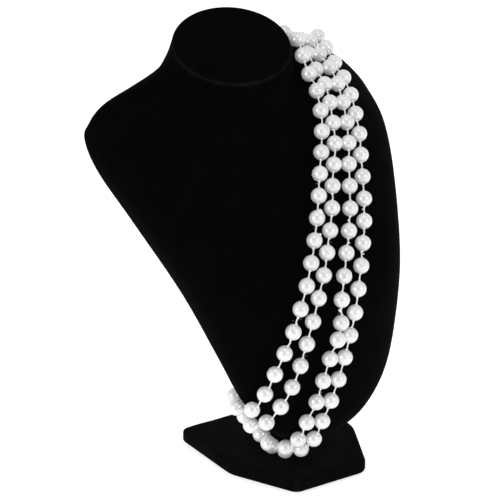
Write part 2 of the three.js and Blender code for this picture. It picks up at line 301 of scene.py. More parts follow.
@dataclass(frozen=True)
class PearlFinish:
    """Nacre on a round bead: milky white, a soft lustre and a faint cloud of overtone.

    The mesh gives "tone", a number between 0 and 1 that is the same all over a bead.
    """

    body: float = 0.73
    dullest: float = 0.96
    brightest: float = 1.05
    clouded: float = 1.12
    warmth: float = 0.012
    cloud_warmth: float = 0.008
    cloud_share: float = 0.25
    cloud_scale: float = 260.0
    least_rough: float = 0.22
    cloud_rough: float = 0.05
    least_coat: float = 0.9
    ring_scale: float = 780.0
    ring_bump: float = 0.08
    ring_height: float = 0.0002

    def material(self, name: str) -> bpy.types.Material:
        """Makes the material: a body colour by the bead's tone, clouds and a gloss coat.

        Args:
            name: The material's name.

        Returns:
            The material.
        """
        shader = Shader(name, {
            "IOR": 1.5, "Coat Roughness": 0.36, "Coat IOR": 2.0, "Metallic": 0.12,
            "Sheen Weight": 0.35, "Sheen Roughness": 0.35,
            "Subsurface Weight": 0.9, "Subsurface Scale": 0.005,
            "Subsurface Radius": (1.0, 0.96, 0.92),
        })
        tone = shader.attribute("tone")
        clouds = shader.noise(self.cloud_scale, 4.0, 0.6)
        rings = shader.noise(self.ring_scale, 2.0)
        colour = shader.mix(tone, grey(self.body * self.dullest, -self.warmth),
                            grey(self.body * self.brightest, self.warmth))
        colour = shader.mix(clouds * self.cloud_share, colour,
                            grey(self.body * self.clouded, self.cloud_warmth))
        return shader.dress(
            Base_Color=colour,
            Roughness=self.least_rough + self.cloud_rough * clouds,
            Coat_Weight=self.least_coat + (1 - self.least_coat) * clouds,
            Normal=shader.bump(rings, self.ring_bump, self.ring_height),
        )


@dataclass(frozen=True)
class CottonFinish:
    """White cotton thread: matt plies with painted shade in the groove between them."""

    ply: float = 0.86
    # The groove's colour is painted shade.
    groove_shade: float = 0.62
    bright_fibre: float = 1.1
    fibre_share: float = 0.3
    fibre_scale: float = 2600.0
    least_rough: float = 0.78
    fibre_rough: float = 0.15
    fibre_bump: float = 0.35
    fibre_height: float = 0.0001

    def material(self, name: str) -> bpy.types.Material:
        """Makes the material: painted shade in the groove from the mesh's "ply", and fine fibres.

        Args:
            name: The material's name.

        Returns:
            The material.
        """
        shader = Shader(name, {
            "Sheen Weight": 0.2, "Sheen Roughness": 0.5, "Specular IOR Level": 0.3,
        })
        fibres = shader.noise(self.fibre_scale, 3.0, 0.7)
        raised = shader.attribute("ply")
        # Painted shade in the grooves between the plies.
        colour = shader.mix(raised, grey(self.groove_shade, 0.02), grey(self.ply, 0.015))
        colour = shader.mix(fibres * self.fibre_share, colour, grey(self.ply * self.bright_fibre))
        return shader.dress(
            Base_Color=colour,
            Roughness=self.least_rough + self.fibre_rough * fibres,
            Normal=shader.bump(fibres, self.fibre_bump, self.fibre_height),
        )


# --------------------------------------------------------------------------------------------
# Meshes from whole arrays
# --------------------------------------------------------------------------------------------


def unit(vectors: np.ndarray) -> np.ndarray:
    """Vectors over their own lengths, along the last axis."""
    return vectors / np.maximum(np.linalg.norm(vectors, axis=-1, keepdims=True), 1e-12)


def full_turn(columns: int) -> np.ndarray:
    """The angles of a full turn that is divided evenly."""
    return 2 * np.pi * np.arange(columns) / columns


def square_to(ahead: np.ndarray, leaning: Any = LEANING) -> tuple[np.ndarray, np.ndarray]:
    """Two directions square to ahead and to each other.

    The first is ahead x leaning over its own length, and the second is ahead x the first.

    Args:
        ahead: Unit directions, along the last axis.
        leaning: One direction, or one for each, that doesn't run along ahead.

    Returns:
        The two directions.
    """
    aside = unit(np.cross(ahead, leaning))
    return aside, np.cross(ahead, aside)


def grid_faces(rings: int, columns: int, loop: bool = False) -> np.ndarray:
    """Quads between neighbouring points of a grid whose rings are closed.

    Args:
        rings: Number of rings.
        columns: Points in each ring.
        loop: Whether the last ring joins the first.

    Returns:
        One row of four point numbers for each quad, (ring, column) being ring * columns + column.
    """
    ring = np.arange(rings if loop else rings - 1)[:, None]
    column = np.arange(columns)[None, :]
    after = (column + 1) % columns
    above = (ring + 1) % rings
    corners = (ring * columns + column, ring * columns + after,
               above * columns + after, above * columns + column)
    return np.stack(np.broadcast_arrays(*corners), axis=-1).reshape(-1, 4)


def cap_faces(start: int, columns: int, middle: int, upwards: bool) -> np.ndarray:
    """Triangles from a ring's points to one middle point.

    Args:
        start: Number of the ring's first point.
        columns: Points in the ring.
        middle: Number of the middle point.
        upwards: Whether the cap is the one that the rings end with.

    Returns:
        One row of three point numbers for each triangle.
    """
    column = np.arange(columns)
    here = start + column
    after = start + (column + 1) % columns
    order = (here, after) if upwards else (after, here)
    return np.stack([*order, np.full(columns, middle)], axis=-1)


def copied_faces(faces: np.ndarray, count: int, each: int) -> list[list[int]]:
    """The faces of many alike surfaces whose points follow one another.

    Args:
        faces: The faces of the first, as rows of point numbers.
        count: Number of surfaces.
        each: Points in each.

    Returns:
        All faces.
    """
    shifts = np.arange(count)[:, None, None] * each
    return (faces + shifts).reshape(-1, faces.shape[-1]).tolist()


def closed_shell(rings: np.ndarray) -> tuple[np.ndarray, list[list[int]]]:
    """A closed skin over a stack of rings, with a point in the middle of each end.

    Args:
        rings: Points as (ring, column, 3).

    Returns:
        All points as (n, 3), and the faces.
    """
    count, columns, _ = rings.shape
    ends = np.stack([rings[0].mean(axis=0), rings[-1].mean(axis=0)])
    points = np.concatenate([rings.reshape(-1, 3), ends])
    last = (count - 1) * columns
    faces = grid_faces(count, columns).tolist()
    faces += cap_faces(0, columns, len(points) - 2, False).tolist()
    faces += cap_faces(last, columns, len(points) - 1, True).tolist()
    return points, faces


def make_piece(name: str, points: np.ndarray, faces: Sequence[Sequence[int]],
               material: bpy.types.Material, stands_for: Sequence[str],
               stored: Optional[dict[str, np.ndarray]] = None) -> bpy.types.Object:
    """Puts a surface into the scene as a smooth piece that rides on the body.

    Args:
        name: The piece's name.
        points: Its points as (n, 3), in millimetres.
        faces: Its faces as rows of point numbers.
        material: Its finish.
        stands_for: The CAD nodes that it replaces.
        stored: Numbers for each point, by the attribute's name.

    Returns:
        The piece.
    """
    mesh = bpy.data.meshes.new(name)
    mesh.from_pydata((points * MM).tolist(), [], faces)
    mesh.shade_smooth()
    for attribute, numbers in (stored or {}).items():
        layer = mesh.attributes.new(attribute, "FLOAT", "POINT")
        layer.data.foreach_set("value", np.ascontiguousarray(numbers, dtype=np.float32))
    mesh.materials.append(material)
    piece = bpy.data.objects.new(name, mesh)
    bpy.context.scene.collection.objects.link(piece)
    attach(piece, "root")
    if stands_for:
        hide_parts(*stands_for)
    log.info("%s: %d points, %d faces, for %d nodes", name, len(points), len(faces),
             len(stands_for))
    return piece


def rounded_outline(corners: np.ndarray, radius: float, steps: int, along: int) -> np.ndarray:
    """A closed outline whose corners are quadratic curves and whose edges are evenly divided.

    A corner is (1 - t)^2 a + 2 t (1 - t) c + t^2 b, where a and b lie one radius from c on its
    two edges.

    Args:
        corners: The outline's corners as (n, 2), anticlockwise.
        radius: Length that each corner takes off its edges.
        steps: Points on each rounded corner.
        along: Points on each straight edge.

    Returns:
        The outline as (n * (steps + along), 2).
    """
    after = np.roll(corners, -1, axis=0)
    arrive = corners + radius * unit(np.roll(corners, 1, axis=0) - corners)
    leave = corners + radius * unit(after - corners)
    t = np.linspace(0, 1, steps)[None, :, None]
    curve = ((1 - t) ** 2 * arrive[:, None] + 2 * t * (1 - t) * corners[:, None]
             + t ** 2 * leave[:, None])
    s = (np.arange(1, along + 1) / (along + 1))[None, :, None]
    straight = leave[:, None] * (1 - s) + np.roll(arrive, -1, axis=0)[:, None] * s
    return np.concatenate([curve, straight], axis=1).reshape(-1, 2)


def slab_rings(outline: np.ndarray, thickness: float, edge: float, fill: int,
               centre: float = 0.08, turns: int = 6, walls: int = 3) -> np.ndarray:
    """Rings of a slab with rounded edges, from the middle of one face to that of the other.

    Over an edge the outline draws in by edge * (1 - cos a) and the level moves by edge * sin a.
    Over a face the drawn-in outline shrinks straight towards its own middle.

    Args:
        outline: The slab's outline as (n, 2), anticlockwise.
        thickness: From face to face.
        edge: Radius of the rounded edges.
        fill: Rings across each face.
        centre: Share of a face's size that its innermost ring has.
        turns: Rings over each rounded edge.
        walls: Rings between the edges.

    Returns:
        Rings as (ring, n, 3), with the outline's plane first and the level last.
    """
    tangent = unit(np.roll(outline, -1, axis=0) - np.roll(outline, 1, axis=0))
    outward = np.stack([tangent[:, 1], -tangent[:, 0]], axis=-1)
    face = outline - edge * outward
    middle = face.mean(axis=0)
    share = np.linspace(centre, 1, fill)[:, None, None]
    spread = middle + (face - middle) * share
    turn = np.linspace(np.pi / 2, 0, turns)[:, None, None]
    curve = outline - edge * (1 - np.cos(turn)) * outward
    level = np.broadcast_to(edge * (1 - np.sin(turn)), curve.shape[:2] + (1,))
    rising = np.concatenate([
        np.concatenate([spread, np.zeros(spread.shape[:2] + (1,))], axis=-1),
        np.concatenate([curve, level], axis=-1)[1:],
    ])
    falling = rising[::-1] * (1, 1, -1) + (0, 0, thickness)
    sides = np.linspace(0, 1, walls + 2)[1:-1, None, None]
    wall = rising[-1] * (1 - sides) + falling[0] * sides
    return np.concatenate([rising, wall, falling])


# --------------------------------------------------------------------------------------------
# The stand
# --------------------------------------------------------------------------------------------

# Level sections of the bust from its lower tip to the edge of the neck top: height, half width,
# the widest line's y, depth in front of it and behind it, how square the front and back curves
# are, and how far the section leans forward in degrees.
SECTIONS = np.array([
    [23, 0.1, -27.5, 0.1, 0.1, 2.4, 3.0, 0],
    [27, 18.5, -29, 7.5, 4.5, 2.4, 3.5, 0],
    [39, 35, -29, 15, 7, 2.4, 4, 0],
    [59, 49, -27, 20.5, 7, 2.4, 4, 0],
    [86, 59.5, -18, 31, 7, 2.4, 4, 0],
    [122, 71.5, 1.5, 48, 7, 2.4, 4, 0],
    [160, 86.5, 30, 53, 7.5, 2.4, 3.8, 0],
    [185, 95, 54, 57.5, 9, 2.4, 3.4, 0],
    [200, 94.5, 69.5, 59.5, 10, 2.3, 3, 0],
    [209, 90, 71, 55.5, 12.5, 2, 2.5, 2],
    [217, 81.5, 71, 51.5, 15, 1.6, 2, 4],
    [222.5, 67.5, 70.5, 48.5, 18, 1.4, 1.6, 7.5],
    [229, 50, 68, 43.5, 21.5, 1.5, 1.5, 13],
    [234.7, 43, 63.5, 37, 26.5, 1.7, 1.7, 20.5],
    [239.2, 39.5, 60.5, 32.3, 29.4, 1.9, 1.9, 26.5],
    [242, 38.2, 59.2, 30.2, 30.2, 2, 2, 30],
])


@dataclass
class Bust:
    """The padded bust: a flat-backed body from its lower tip to the oval neck top.

    Its rim carries painted sheen, brightest where it faces rim_faces degrees, over rim_rings
    rings, and lint lies from lint_ring of the neck pad inwards.
    """

    rows: np.ndarray = field(default_factory=lambda: SECTIONS)
    columns: int = 200
    rings_per_row: int = 10
    sample_columns: int = 120
    samples_per_row: int = 12
    pad_rise: float = 2.2
    pad_edge: float = 1.3
    pad_turns: int = 7
    pad_fill: int = 28
    pad_centre: float = 0.03
    # The neck top's rim is painted lighter as sheen, brightest where it faces rim_faces degrees.
    rim_faces: float = 262.0
    rim_sheen: float = 0.55
    rim_least: float = 0.25
    rim_rings: float = 3.6
    lint_ring: int = 6
    dent_at: tuple[float, float, float] = (-92.0, 77.0, 208.0)
    dent: tuple[float, float, float] = (0.9, 0.0, -0.5)
    dent_reach: float = 3.0
    # The velvet just below the dent is made lighter, fading with distance.
    mark_drop: tuple[float, float, float] = (0.0, 0.0, 6.0)
    mark_reach: float = 4.0
    mark_lightening: float = 0.25

    def row_at(self, places: np.ndarray) -> np.ndarray:
        """Reads a smooth curve through the rows.

        Between rows a and b with slopes m and n, half the difference of each one's neighbours,
        it is a + t (m + t (3 (b - a) - 2 m - n + t (m + n - 2 (b - a)))).

        Args:
            places: Places counted in rows.

        Returns:
            One row for each place.
        """
        rows = self.rows
        padded = np.concatenate([[2 * rows[0] - rows[1]], rows, [2 * rows[-1] - rows[-2]]])
        index = np.minimum(np.floor(places).astype(int), len(rows) - 2)
        t = (places - index)[:, None]
        before, start, end, after = (padded[index + i] for i in range(4))
        slope_in = (end - before) / 2
        slope_out = (after - start) / 2
        rise = end - start
        square = 3 * rise - 2 * slope_in - slope_out
        cube = slope_in + slope_out - 2 * rise
        return start + t * (slope_in + t * (square + t * cube))

    def sections(self, places: np.ndarray, columns: int) -> np.ndarray:
        """Closed sections of the bust.

        At angle a a section's point is half * |cos a|^(2/p) across and depth * |sin a|^(2/p)
        along, with their signs, where p and depth differ in front and behind; along leans
        upwards by the section's own lean.

        Args:
            places: Places counted in rows.
            columns: Points in each section.

        Returns:
            Points as (place, column, 3).
        """
        z, half, y, front, back, front_power, back_power, lean = (
            value[:, None] for value in self.row_at(places).T)
        angle = full_turn(columns)
        cosine = np.cos(angle)[None, :]
        sine = np.sin(angle)[None, :]
        power = np.where(sine < 0, front_power, back_power)
        depth = np.where(sine < 0, front, back)
        across = half * np.sign(cosine) * np.abs(cosine) ** (2 / power)
        along = depth * np.sign(sine) * np.abs(sine) ** (2 / power)
        tilt = np.radians(lean)
        return np.stack([across, y + along * np.cos(tilt), z + along * np.sin(tilt)], axis=-1)

    def samples(self) -> tuple[np.ndarray, np.ndarray]:
        """Close points of the surface with their outward directions, to rest beads on.

        The direction is the cross product of the steps to the neighbours around and upwards.

        Returns:
            The points and the directions, each as (n, 3).
        """
        per_row = self.samples_per_row
        last = len(self.rows) - 1
        rings = self.sections(np.arange(1, last * per_row + 1) / per_row, self.sample_columns)
        sideways = np.roll(rings, -1, axis=1) - np.roll(rings, 1, axis=1)
        normals = unit(np.cross(sideways[1:-1], rings[2:] - rings[:-2]))
        return rings[1:-1].reshape(-1, 3), normals.reshape(-1, 3)

    def pad_rings(self, rim: np.ndarray) -> np.ndarray:
        """The padded neck top: the rim shrinks to its middle over a rounded edge and a low dome.

        At share s of the rim's size the pad stands pad_edge * sqrt(1 - ((s - f) / (1 - f))^2)
        up near the rim, where f is the share at the edge's inner side, and a further
        (pad_rise - pad_edge) * (1 - (s / f)^2) inside it.

        Args:
            rim: The last section, as (column, 3).

        Returns:
            Rings as (ring, column, 3).
        """
        columns = len(rim)
        middle = (rim[0] + rim[columns // 2]) / 2
        up = unit(np.cross(rim[0] - middle, rim[columns // 4] - middle))
        inner = 1 - self.pad_edge / np.linalg.norm(rim[0] - middle)
        turn = np.linspace(0, np.pi / 2, self.pad_turns + 1)[1:]
        edge_shares = inner + (1 - inner) * np.cos(turn)
        fill_shares = np.linspace(inner, self.pad_centre, self.pad_fill)[1:]
        shares = np.concatenate([edge_shares, fill_shares])
        edge = self.pad_edge * np.sqrt(
            np.clip(1 - np.clip((shares - inner) / (1 - inner), 0, 1) ** 2, 0, 1))
        dome = (self.pad_rise - self.pad_edge) * (1 - np.minimum(shares / inner, 1) ** 2)
        rise = (edge + dome)[:, None, None]
        return middle + (rim - middle) * shares[:, None, None] + up * rise

    def build(self, velvet: bpy.types.Material) -> bpy.types.Object:
        """Makes the bust, with painted sheen on its neck top's rim and a dent in one shoulder.

        The painted sheen falls off as exp(-(d / rim_rings)^2) with the rings d from the rim, and
        round the rim as a + (1 - a) * (0.5 + 0.5 * cos t)^2, with t from the side where it is
        brightest and a its least. The dent moves points by its own vector times
        exp(-(d / dent_reach)^2), where d is their distance from it, and the velvet just below
        it is made lighter in the same way.

        Args:
            velvet: Its finish.

        Returns:
            The piece.
        """
        last = len(self.rows) - 1
        body = self.sections(np.linspace(0, last, last * self.rings_per_row + 1), self.columns)
        pad = self.pad_rings(body[-1])
        points, faces = closed_shell(np.concatenate([body, pad]))
        ring = np.arange(len(body) + len(pad))[:, None]
        angle = np.radians(360 * np.arange(self.columns) / self.columns - self.rim_faces)
        around = self.rim_least + (1 - self.rim_least) * (0.5 + 0.5 * np.cos(angle)) ** 2
        from_rim = (ring - len(body) - 1) / self.rim_rings
        # Painted sheen along the neck top's rim.
        lightening = np.concatenate([(self.rim_sheen * np.exp(-from_rim ** 2) * around).ravel(), [0, 0]])
        lint = np.arange(len(points)) > (len(body) + self.lint_ring) * self.columns
        shoulder = np.linalg.norm(points - self.dent_at, axis=1)
        points = points + np.exp(-(shoulder / self.dent_reach) ** 2)[:, None] * self.dent
        # Lighter just below the dent.
        below = np.linalg.norm(points - self.dent_at + self.mark_drop, axis=1)
        lightening += self.mark_lightening * np.exp(-(below / self.mark_reach) ** 2)
        return make_piece("bust_velvet", points, faces, velvet, ["bust"],
                          {"lightening": lightening, "lint": lint * 1.0})


@dataclass
class BasePlate:
    """The six-sided base plate, its front corners cut off, with soft velvet-covered edges.

    Its lumps along x and y each have a length, how far they are pushed and the push's length.
    """

    front: float = 50.0
    width: float = 90.0
    chamfer: float = 42.0
    depth: float = 96.5
    thickness: float = 9.0
    corner: float = 5.0
    corner_steps: int = 12
    side_steps: int = 18
    edge: float = 2.4
    fill: int = 14
    sag: float = 0.5
    lumps_x: tuple[float, float, float] = (5.3, 1.7, 11.0)
    lumps_y: tuple[float, float, float] = (6.1, 1.3, 9.0)
    # The whole plate is made lighter than the bust, more on its lumps.
    plate_lift: float = 0.15
    lift_on_lumps: float = 0.09
    # Painted sheen along the top's rounded edge.
    rim_sheen: float = 0.06
    # Lighter down the near left corner.
    mark_lightening: float = 0.4
    mark_reach: float = 1.6

    def build(self, velvet: bpy.types.Material) -> bpy.types.Object:
        """Makes the plate: its padded top lies unevenly, and it is lighter all over and down one
        corner, with painted sheen along its top edge.

        The lumps are sin(x / a + p * sin(y / c)) * sin(y / b + q * sin(x / d)), and the top sags
        by sag * (0.5 + 0.5 * lumps). The lighter corner falls off as exp(-(d / r)^2) with the
        distance d from the near left corner, r being its reach.

        Args:
            velvet: Its finish.

        Returns:
            The piece.
        """
        half = np.array([
            [self.front / 2, -self.depth / 2],
            [self.width / 2, self.chamfer - self.depth / 2],
            [self.width / 2, self.depth / 2],
        ])
        corners = np.concatenate([half, half[::-1] * (-1, 1)])
        outline = rounded_outline(corners, self.corner, self.corner_steps, self.side_steps)
        points, faces = closed_shell(slab_rings(outline, self.thickness, self.edge, self.fill))
        x, y, z = points.T
        length_x, push_x, bend_x = self.lumps_x
        length_y, push_y, bend_y = self.lumps_y
        lumps = (np.sin(x / length_x + push_x * np.sin(y / bend_x))
                 * np.sin(y / length_y + push_y * np.sin(x / bend_y)))
        points[:, 2] = np.where(z > self.thickness / 2, z - self.sag * (0.5 + 0.5 * lumps), z)
        corner = np.linalg.norm(points[:, :2] - corners[-1], axis=1)
        # Painted sheen along the top's rounded edge.
        rim = np.clip(z - self.thickness + self.edge, 0, self.edge) / self.edge
        # The plate is made lighter all over, more on its lumps and down the near left corner.
        lightening = (self.plate_lift + self.lift_on_lumps * lumps + self.rim_sheen * rim
               + self.mark_lightening * np.exp(-(corner / self.mark_reach) ** 2))
        return make_piece("base_velvet", points, faces, velvet, ["base"],
                          {"lightening": lightening, "lint": np.zeros(len(points))})


@dataclass
class Stem:
    """The wedge that carries the bust: its front follows the bust's back."""

    width: float = 14.0
    toe: float = -10.0
    heel: float = 18.0
    head: float = 6.0
    gap: float = 0.36
    foot: float = 9.3
    edge: float = 1.0
    corner: float = 1.2
    corner_steps: int = 4
    side_steps: int = 5
    fill: int = 8
    first_row: float = 2.0
    last_row: float = 4.0
    back_steps: int = 7
    lightening: float = 0.03

    def build(self, bust: Bust, velvet: bpy.types.Material) -> bpy.types.Object:
        """Makes the wedge from the foot on the base plate up the bust's back.

        The bust's back is the second of four points round each of its sections.

        Args:
            bust: The bust that it carries, from first_row to last_row of its sections.
            velvet: Its finish.

        Returns:
            The piece.
        """
        places = np.linspace(self.last_row, self.first_row, self.back_steps)
        back = bust.sections(places, 4)[:, 1, 1:] + (self.gap, 0)
        corners = np.concatenate([
            [[self.toe, self.foot], [self.heel, self.foot], back[0] + (self.head, 0)], back])
        outline = rounded_outline(corners, self.corner, self.corner_steps, self.side_steps)
        rings = slab_rings(outline, self.width, self.edge, self.fill)
        rings = np.roll(rings, 1, axis=-1) - (self.width / 2, 0, 0)
        points, faces = closed_shell(rings)
        return make_piece("stem_velvet", points, faces, velvet, ["stem"],
                          {"lightening": np.full(len(points), self.lightening), "lint": np.zeros(len(points))})


# --------------------------------------------------------------------------------------------
# The necklace
# --------------------------------------------------------------------------------------------

# Where each winding lies as it comes over the shoulder and down the chest: y, z and one x for
# each winding. OFF stands where a winding has already left the chest.
OFF = math.nan
CHEST = np.array([
    [70, 232, 49, 55, 59, 62.5],
    [55, 231, 46.5, 53, 58, 62],
    [42, 226, 44.5, 50.5, 57, 61.5],
    [30, 219, 42.5, 48, 56, 60.5],
    [15, 210, 35.2, 42.3, 50.8, 56.7],
    [6, 200, 28.8, 35.8, 46.2, 54],
    [-12, 180, 13.6, 22.4, 34.6, 45],
    [-29, 160, 0.6, 10.7, 24.7, 35.6],
    [-42, 140, -12, -3, 12, 24],
    [-50, 120, -25, -14.5, 2.7, 13.9],
    [-53, 100, -34, -21.7, -0.6, 8.1],
    [-53, 80, -44, -28, -8.6, 2.8],
    [-48, 60, -53.5, -37, -13.7, -3.8],
    [-45, 47, OFF, -46, -19, -8.5],
    [-44, 33, OFF, OFF, -22.3, -11.6],
])

# How each winding then turns under the near edge or the tip, as x, y, z.
TURNS = (
    ((-53, -27, 56), (-46, -14, 58)),
    ((-46, -34, 45), (-43, -20, 43)),
    ((-24, -36, 25.5), (-27.8, -22.5, 23.5), (-25, -10, 22.5)),
    ((-14.6, -36, 23), (-17.5, -25, 17), (-18, -13, 14.4), (-15.5, 1.5, 14.5)),
)

# How each winding climbs behind the bust to the lane beside it.
CLIMBS = (
    ((3, 33, 130), (24, 54, 160), (45, 72, 187), (54, 88, 214)),
    ((17, 33, 130), (36, 54, 160), (56, 72, 187), (64, 87, 212)),
    ((-17, 4, 34), (-9, 14, 60), (31, 33, 130), (48, 54, 160), (67, 72, 187), (74, 86, 210)),
    ((-14, 15, 21), (-10, 26, 38), (-3, 31, 60), (14, 46, 130), (22, 65, 160), (32, 74, 187),
     (43, 92, 214)),
)


@dataclass(frozen=True)
class MarkedBead:
    """A bead of known height on the chest, with the beads above and below it at full pitch."""

    height: float
    above: int
    below: int


@dataclass(frozen=True)
class Knot:
    """The knot below one winding's marked bead.

    It holds the next bead against the marked one and a little off the bust, by shift, and the
    bead after that closer than the others.
    """

    winding: Winding = Winding.THIRD
    pitch: float = 9.0
    onward: float = 13.0
    shift: tuple[float, float, float] = (-2.4, -3.7, 1.9)


@dataclass
class Strand:
    """Where the beads of the one long closed strand sit, as it winds round the bust.

    The beads are settled at their full size and drawn a little smaller.
    """

    bust: Bust
    bead: float = 10.0
    pitch: float = 13.85
    clearance: float = 0.3
    drawn: float = 9.5
    bead_gap: float = 0.15
    near: float = 2.0
    passes: int = 30
    seatings: int = 2
    steps_per_mark: int = 8
    marked: tuple[MarkedBead, ...] = (
        MarkedBead(191.2, 6, 12), MarkedBead(185.4, 6, 14),
        MarkedBead(106.5, 15, 9), MarkedBead(165.1, 10, 15),
    )
    knot: Knot = field(default_factory=Knot)

    def __post_init__(self) -> None:
        """Finds the surface to rest on, the route and then the beads."""
        self.surface, self.outward = self.bust.samples()
        self.seat_height = self.bead / 2 + self.clearance
        self.beads, self.starts = self._settled()
        ahead = np.roll(self.beads, -1, axis=0) - np.roll(self.beads, 1, axis=0)
        self.travel = unit(ahead)

    def _seated(self, points: np.ndarray, rest: np.ndarray) -> np.ndarray:
        """Moves points off the bust, or onto it where rest is 1.

        The height h of a point is taken along the direction of its nearest surface sample, and
        becomes rest * s + (1 - rest) * max(h, s), where s is the seat's height.

        Args:
            points: Points as (n, 3).
            rest: One number between 0 and 1 for each.

        Returns:
            The moved points.
        """
        squares = (self.surface ** 2).sum(axis=1)
        nearest = (squares - 2 * points @ self.surface.T).argmin(axis=1)
        normal = self.outward[nearest]
        height = ((points - self.surface[nearest]) * normal).sum(axis=1)
        wanted = rest * self.seat_height + (1 - rest) * np.maximum(height, self.seat_height)
        return points + normal * (wanted - height)[:, None]

    def _route(self) -> tuple[np.ndarray, np.ndarray, np.ndarray]:
        """The closed route: a centripetal curve through all marks, seated on the bust.

        Between marks b and c, with neighbours a and d, the knots' spacing is the square root
        of each distance, and the slopes are those of the non-uniform Catmull-Rom curve.

        Returns:
            Its points, the winding of each, and whether each lies on the chest.
        """
        corners, winding, chest = [], [], []
        for number, (turn, climb) in enumerate(zip(TURNS, CLIMBS)):
            column = CHEST[:, 2 + number]
            lying = CHEST[~np.isnan(column)]
            lane = np.stack([lying[:, 2 + number], lying[:, 0], lying[:, 1]], axis=-1)
            corners += [lane, np.array(turn + climb, dtype=float)]
            chest += [np.ones(len(lane)), np.zeros(len(turn + climb))]
            winding.append(np.full(len(lane) + len(turn + climb), number))
        b = np.concatenate(corners)
        rest = np.concatenate(chest)
        a, c, d = (np.roll(b, -shift, axis=0) for shift in (-1, 1, 2))
        gaps = [np.sqrt(np.linalg.norm(q - p, axis=1))[:, None] for p, q in ((a, b), (b, c), (c, d))]
        slope = gaps[1] * ((b - a) / gaps[0] - (c - a) / (gaps[0] + gaps[1]) + (c - b) / gaps[1])
        leave = gaps[1] * ((c - b) / gaps[1] - (d - b) / (gaps[1] + gaps[2]) + (d - c) / gaps[2])
        t = (np.arange(self.steps_per_mark) / self.steps_per_mark)[None, :, None]
        start, end, slope, leave = (part[:, None] for part in (b, c, slope, leave))
        points = (start + t * slope + t ** 2 * (3 * (end - start) - 2 * slope - leave)
                  + t ** 3 * (2 * (start - end) + slope + leave)).reshape(-1, 3)
        resting = (rest[:, None] * (1 - t[..., 0]) + np.roll(rest, -1)[:, None] * t[..., 0])
        for _ in range(self.seatings):
            points = self._seated(points, resting.ravel())
        return (points, np.repeat(np.concatenate(winding), self.steps_per_mark),
                np.repeat(rest > 0, self.steps_per_mark))

    def _lengths(self, points: np.ndarray, winding: np.ndarray,
                 chest: np.ndarray) -> tuple[np.ndarray, np.ndarray, list[int]]:
        """Lengths along the route at which the beads sit.

        On the chest they keep the full pitch either side of the marked bead; behind, the rest
        of the way is divided evenly into steps nearest the full pitch.

        Args:
            points: The route's points.
            winding: The winding of each.
            chest: Whether each lies on the chest.

        Returns:
            The route's own lengths, the beads' lengths, and the number of the first bead of
            each run with the total last.
        """
        strides = np.linalg.norm(np.roll(points, -1, axis=0) - points, axis=1)
        route = np.concatenate([[0], np.cumsum(strides)])
        runs = []
        for number, mark in enumerate(self.marked):
            z = points[:, 2]
            falls = chest & (winding == number) & (z >= mark.height)
            falls &= np.roll(z, -1) < mark.height
            i = int(np.flatnonzero(falls)[0])
            part = (z[i] - mark.height) / (z[i] - z[i + 1])
            middle = route[i] + part * (route[i + 1] - route[i])
            count = np.arange(-mark.above, mark.below + 1)
            steps = count * self.pitch
            if self.knot.winding.value == number:
                steps[count > 0] += self.knot.pitch - self.pitch
                steps[count > 1] += self.knot.onward - self.pitch
            runs.append(middle + steps)
        lengths, starts = [], [0]
        for number, run in enumerate(runs):
            onward = runs[number + 1][0] if number + 1 < len(runs) else runs[0][0] + route[-1]
            gaps = round((onward - run[-1]) / self.pitch)
            behind = run[-1] + (onward - run[-1]) * np.arange(1, gaps) / gaps
            lengths += [run, behind]
            starts += [starts[-1] + len(run), starts[-1] + len(run) + len(behind)]
        return route, np.concatenate(lengths), starts

    def _settled(self) -> tuple[np.ndarray, list[int]]:
        """Settles the beads beside each other on the taut thread.

        Each pass sets neighbours back to their own distance, sets beads that touch apart, and
        lifts those that sink into the bust.

        Returns:
            The beads' middles, and the number of each run's first bead with the total last.
        """
        points, winding, chest = self._route()
        route, lengths, starts = self._lengths(points, winding, chest)
        wrapped = np.mod(lengths, route[-1])
        closed = np.concatenate([points, points[:1]])
        beads = np.stack([np.interp(wrapped, route, axis) for axis in closed.T], axis=-1)
        at = self.knot.winding.value
        beads[starts[2 * at] + self.marked[at].above + 1] += self.knot.shift
        count = len(beads)
        pitches = np.linalg.norm(np.roll(beads, -1, axis=0) - beads, axis=1)
        least = self.bead + self.bead_gap
        for _ in range(self.passes):
            for i in range(count):
                self._set_apart(beads, i, (i + 1) % count, pitches[i])
            for i in range(count):
                close = np.linalg.norm(beads[i + 1:] - beads[i], axis=1) < least + self.near
                for j in np.flatnonzero(close) + i + 1:
                    if np.linalg.norm(beads[j] - beads[i]) < least:
                        self._set_apart(beads, i, int(j), least)
            beads = self._seated(beads, np.zeros(count))
        return beads, starts

    @staticmethod
    def _set_apart(beads: np.ndarray, first: int, second: int, distance: float) -> None:
        """Moves two beads along the line between them until they are so far apart.

        Args:
            beads: All beads' middles, which are changed.
            first: The number of one bead.
            second: The number of the other.
            distance: The distance that they are set to.
        """
        apart = beads[second] - beads[first]
        length = math.sqrt(float(apart @ apart))
        shift = apart * ((distance - length) / 2 / length)
        beads[first] -= shift
        beads[second] += shift

    def run(self, winding: Winding, side: Side) -> slice:
        """The numbers of one winding's beads on one side of the bust."""
        at = 2 * winding.value + side.value
        return slice(self.starts[at], self.starts[at + 1])


